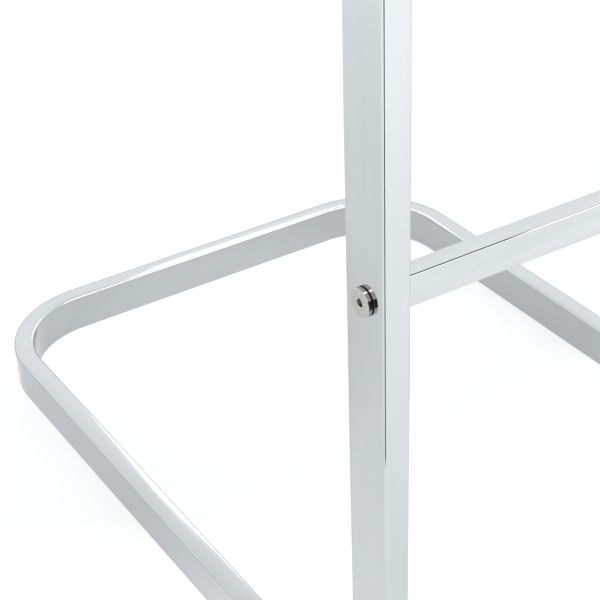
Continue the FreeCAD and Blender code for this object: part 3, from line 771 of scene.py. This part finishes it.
def pivot_pin():
    """The pin that the hanger turns on: a root inside the stem, a round-edged flange and the pin."""
    low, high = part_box("hanger_pivot")
    stem_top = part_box("hanger_stem")[1].z
    flange_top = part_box("friction_washer")[0].z
    flange = radius_of("hanger_pivot")
    root = radius_of("hanger_stem") - STEM_WALL - STEM_CLEARANCE
    profile = [(root - TIP, low.z), (root, low.z + TIP), (root, stem_top), (flange - 0.3 * MM, stem_top)]
    for step in range(7):
        turn = math.pi * (step / 6 - 0.5)
        profile.append((flange - FLANGE_EASE * (1 - math.cos(turn)),
                        (stem_top + flange_top) / 2 + (flange_top - stem_top) / 2 * math.sin(turn)))
    profile += [(PIN_RADIUS, flange_top), (PIN_RADIUS, high.z - TIP), (PIN_RADIUS - TIP, high.z)]
    bm = bmesh.new()
    add_rings(bm, [circle(r, z) for r, z in profile], Matrix.Translation((*middle(low, high).xy, 0)))
    piece("pivot_pin", bm, "frame", NICKEL, ["hanger_pivot"])


HANGER_FORWARD = 45 * MM
HANGER_DROOP = 57 * MM
NECK_RISE = 20 * MM
SHOULDER_DEPTH = 22 * MM
SHOULDER_THICKNESS = 8 * MM
HANGER_STATIONS = 160
HANGER_CROWDING = 0.35
ARM_SIDES = 48
HANGER_NOSE = 10 * MM
HANGER_VOXEL = 1.4 * MM
BUSH_RADIUS = 7 * MM
BORE_PAST = 5 * MM


def hanger_arms(axis, boss, half, base):
    """Both arms as one run of sections that droop, come forward and end in round noses."""
    rings = []
    for station in range(HANGER_STATIONS + 1):
        even = 2 * station / HANGER_STATIONS - 1
        reach = math.sin(even * math.pi / 2) * HANGER_CROWDING + even * (1 - HANGER_CROWDING)
        share = abs(reach)
        nose = max(0.0, (half * share - (half - HANGER_NOSE)) / HANGER_NOSE)
        swell = math.sqrt(max(0.01, 1 - nose * nose))
        depth = (boss + (SHOULDER_DEPTH - boss) * share ** 1.5) * swell
        thick = (boss + (SHOULDER_THICKNESS - boss) * share) * swell
        centre = Vector((half * reach, axis.y + HANGER_FORWARD * share ** 2,
                         base + NECK_RISE - HANGER_DROOP * share ** 1.6))
        rings.append([centre + Vector((0, depth * math.cos(turn), thick * math.sin(turn)))
                      for turn in (2 * math.pi * k / ARM_SIDES for k in range(ARM_SIDES))])
    return rings


def hanger_body():
    """The contoured walnut hanger: two arms blended into a turned and bored boss."""
    low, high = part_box("hanger_body")
    axis = middle(*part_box("hanger_cap"))
    boss = radius_of("hanger_cap")
    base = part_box("hanger_bush")[0].z
    profile = [(boss - 1.6 * MM, base), (boss - 0.5 * MM, base + 0.4 * MM), (boss, base + 1.6 * MM),
               (boss, high.z)]
    collar_rings = [circle(r, z) for r, z in profile]
    bore_rings = [circle(BUSH_RADIUS, z) for z in (base - BORE_PAST, high.z + BORE_PAST)]
    to_axis = Matrix.Translation((axis.x, axis.y, 0))
    shapes = []
    for rings, matrix in ((hanger_arms(axis, boss, (high.x - low.x) / 2, base), Matrix()),
                          (collar_rings, to_axis), (bore_rings, to_axis)):
        bm = bmesh.new()
        add_rings(bm, rings, matrix)
        bmesh.ops.recalc_face_normals(bm, faces=bm.faces)
        shapes.append(linked("hanger_shape", bm))
    arms, collar, bore = shapes
    combine(arms, "UNION", collar)
    remesh = arms.modifiers.new("remesh", "REMESH")
    remesh.mode = "VOXEL"
    remesh.voxel_size = HANGER_VOXEL
    smooth = arms.modifiers.new("smooth", "SMOOTH")
    smooth.iterations = 12
    smooth.factor = 0.5
    combine(arms, "DIFFERENCE", bore)
    piece("hanger_walnut", baked(*shapes), "hanger", WALNUT, ["hanger_body"], sharp=50)


CAP_WALL = 1.2 * MM
CAP_ROUND = 3.2 * MM


def hanger_cap():
    """A chromed cup on the boss, with a softly rounded top and a turned line near its foot."""
    low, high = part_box("hanger_cap")
    radius = radius_of("hanger_cap")
    inner = radius - CAP_WALL
    profile = [(inner, high.z - CAP_WALL), (inner, low.z + 0.1 * MM),
               (inner + 0.1 * MM, low.z), (radius - 0.2 * MM, low.z), (radius, low.z + 0.2 * MM),
               (radius, low.z + 1.4 * MM), (radius - 0.3 * MM, low.z + 1.65 * MM),
               (radius, low.z + 1.9 * MM)]
    for step in range(11):
        turn = step / 10 * math.pi / 2
        profile.append((radius - CAP_ROUND * (1 - math.cos(turn)),
                        high.z - CAP_ROUND * (1 - math.sin(turn))))
    bm = bmesh.new()
    add_rings(bm, [circle(r, z, FINE_ROUND) for r, z in profile],
              Matrix.Translation((*middle(low, high).xy, 0)))
    piece("hanger_cap_cup", bm, "hanger", PLAIN_CHROME, ["hanger_cap"])


SLOT_MATERIALS = {"chrome_tube": PLAIN_CHROME, "nickel_steel": NICKEL, "zinc_steel": ZINC,
                  "dark_steel": DARK_STEEL, "clear_grey_plastic": GLIDE_GREY, "grey_plastic": CAP_GREY,
                  "black_rubber": RUBBER, "black_nylon": NYLON, "walnut": WALNUT, "felt": FELT}


def dress_cad_nodes():
    """Gives each CAD node the material of its slot in the record."""
    for row in frame["record"]["subparts"]:
        for slot in frame["nodes"][row["node"]].material_slots:
            slot.material = SLOT_MATERIALS[row["material_slot"]]


dress_cad_nodes()
floor_loop()
uprights()
bars()
bar_fasteners()
screws("connector_screws", BUTTON, -1)
screws("tray_arm_screws", BUTTON, -1)
upright_caps()
floor_glides()
trouser_grip()
tray_arms()
tray()
tray_liner()
stem_rings()
screws_from_below()
pivot_pin()
hanger_body()
hanger_cap()


# ---------------------------------------------------------------- floor, light and camera

CAMERA_PLACE = Vector((-0.5326, -0.7480, 0.6969))
CAMERA_YAW = math.radians(31.676)
CAMERA_PITCH = math.radians(32.246)
CAMERA_ROLL = math.radians(-2.122)
CAMERA_LENS = 95.71

STUDIO_TINT = (0.985, 0.995, 1.0)

# The floor's glow against the distance from its middle, measured after the stretch. The glow is painted
# light, and its dip between about 0.12 and 0.36, near the floor loop, is painted shade.
FLOOR_RADIUS = 60
FLOOR_MIDDLE = (0, 0.30, 0)
FLOOR_STRETCH = (0.75, 1, 1)
GLOW_REACH = 3.4
GLOW = ((0.07, 1.07), (0.12, 0.93), (0.20, 0.85), (0.31, 0.83), (0.36, 0.93), (0.41, 1.12), (0.57, 1.20),
        (0.70, 1.27), (0.90, 1.47), (1.06, 1.52), (1.32, 1.66), (1.48, 1.73), (2.20, 1.76), (3.40, 1.08))
FULL_GLOW = 1.76

# The sky's strength against the upward part of the direction.
SKY = ((0.00, 1.04), (0.27, 1.04), (0.45, 1.55), (0.55, 1.58), (0.70, 1.34), (1.00, 1.30))
FULL_SKY = 2.0

# Each light: name, place, target, width, height and radiance. Each flag: the same, with no radiance.
BAR_SPOT = (-0.1, -0.26, 0.33)
LIGHTS = (("key", (0.9, -1.6, 1.9), BAR_SPOT, 1.8, 1.6, 2.3),
          ("rim_back", (0.51, 1.02, 0.80), (0.05, 0.26, 0.03), 0.30, 0.26, 2.8),
          ("bolt_glint", (-0.935, -0.20, 1.625), (-0.2, -0.26, 0.32), 0.30, 0.30, 6.0))
FLAGS = (("flag_over_bar", (-0.075, -0.26, 0.44), (-0.076, -0.26, 0), 0.16, 0.10),
         ("flag_by_post", (-0.32, -0.54, 0.22), (-0.195, -0.27, 0.22), 0.16, 0.44))


def floor():
    """A wide pale floor that glows like a light table, as painted light: brightest about 2 m away, then
    fading, and dimmer near the loop as painted shade.
    """
    bm = bmesh.new()
    bmesh.ops.create_circle(bm, cap_ends=True, segments=FINE_ROUND, radius=FLOOR_RADIUS)
    obj = linked("studio_floor", bm)
    material, shader = new_material("studio_floor", Specular_IOR_Level=0.0, Emission_Strength=FULL_GLOW)
    cloud = noise(material, place(material), 3, 3)
    wire(material, colours(material, cloud, (0.3, (0.118, 0.118, 0.118)), (0.7, (0.122, 0.122, 0.122))),
         shader, "Base Color")
    wire(material, spread(material, cloud, 0.85, 0.95), shader, "Roughness")
    away = add_node(material, "VectorMath", {0: place(material, FLOOR_STRETCH), 1: FLOOR_MIDDLE},
                    operation="DISTANCE")
    share = spread(material, away.outputs["Value"], 0, 1, 0, GLOW_REACH)
    stops = [(distance / GLOW_REACH, [glow / FULL_GLOW * tint for tint in STUDIO_TINT])
             for distance, glow in GLOW]
    wire(material, colours(material, share, *stops), shader, "Emission Color")
    obj.data.materials.append(material)


def aimed(spot, target):
    """The matrix of a panel at a place, whose shining side, its -Z side, faces the target."""
    return facing(Vector(spot) - Vector(target), Vector(spot))


def area_light(name, spot, target, width, height, radiance):
    """A soft panel that shines with the same brightness all over."""
    light = bpy.data.lights.new(name, "AREA")
    light.shape = "RECTANGLE"
    light.size = width
    light.size_y = height
    light.energy = radiance * math.pi * width * height
    obj = bpy.data.objects.new(name, light)
    obj.matrix_world = aimed(spot, target)
    obj.visible_camera = False
    bpy.context.scene.collection.objects.link(obj)


def flag(name, spot, target, width, height):
    """A black panel that only reflections see: it draws the dark lines along polished edges."""
    bm = bmesh.new()
    bmesh.ops.create_grid(bm, x_segments=1, y_segments=1, size=0.5)
    obj = linked(name, bm)
    obj.matrix_world = aimed(spot, target) @ Matrix.Diagonal((width, height, 1, 1))
    material, shader = new_material(name, Roughness=1.0, Specular_IOR_Level=0.0)
    weave = noise(material, place(material), 400, 2)
    wire(material, colours(material, weave, (0.3, (0.010, 0.010, 0.010)), (0.7, (0.016, 0.016, 0.016))),
         shader, "Base Color")
    obj.data.materials.append(material)
    obj.visible_camera = False
    obj.visible_shadow = False
    obj.visible_diffuse = False


def surroundings():
    """A white studio: brightest a third of the way up, dimmer overhead and near the horizon."""
    world = bpy.data.worlds.new("studio")
    world.use_nodes = True
    tree = world.node_tree
    coordinates = tree.nodes.new("ShaderNodeTexCoord")
    split = tree.nodes.new("ShaderNodeSeparateXYZ")
    curve = tree.nodes.new("ShaderNodeFloatCurve")
    points = curve.mapping.curves[0].points
    for at, (rise, strength) in enumerate(SKY):
        point = points[at] if at < 2 else points.new(rise, strength / FULL_SKY)
        point.location = (rise, strength / FULL_SKY)
        point.handle_type = "VECTOR"
    curve.mapping.update()
    scale = tree.nodes.new("ShaderNodeMath")
    scale.operation = "MULTIPLY"
    scale.inputs[1].default_value = FULL_SKY
    background = tree.nodes["Background"]
    background.inputs["Color"].default_value = (*STUDIO_TINT, 1)
    tree.links.new(coordinates.outputs["Generated"], split.inputs["Vector"])
    tree.links.new(split.outputs["Z"], curve.inputs["Value"])
    tree.links.new(curve.outputs["Value"], scale.inputs[0])
    tree.links.new(scale.outputs["Value"], background.inputs["Strength"])
    bpy.context.scene.world = world


def camera():
    """The camera of the picture, in front of the stand's left side and above it."""
    data = bpy.data.cameras.new("camera")
    data.sensor_width = 36
    data.lens = CAMERA_LENS
    obj = bpy.data.objects.new("camera", data)
    turn = (Matrix.Rotation(-CAMERA_YAW, 4, "Z") @ Matrix.Rotation(math.pi / 2 - CAMERA_PITCH, 4, "X")
            @ Matrix.Rotation(CAMERA_ROLL, 4, "Z"))
    obj.matrix_world = Matrix.Translation(CAMERA_PLACE) @ turn
    bpy.context.scene.collection.objects.link(obj)
    bpy.context.scene.camera = obj


floor()
surroundings()
for light in LIGHTS:
    area_light(*light)
for panel in FLAGS:
    flag(*panel)
camera()
bpy.context.scene.view_settings.view_transform = "Standard"
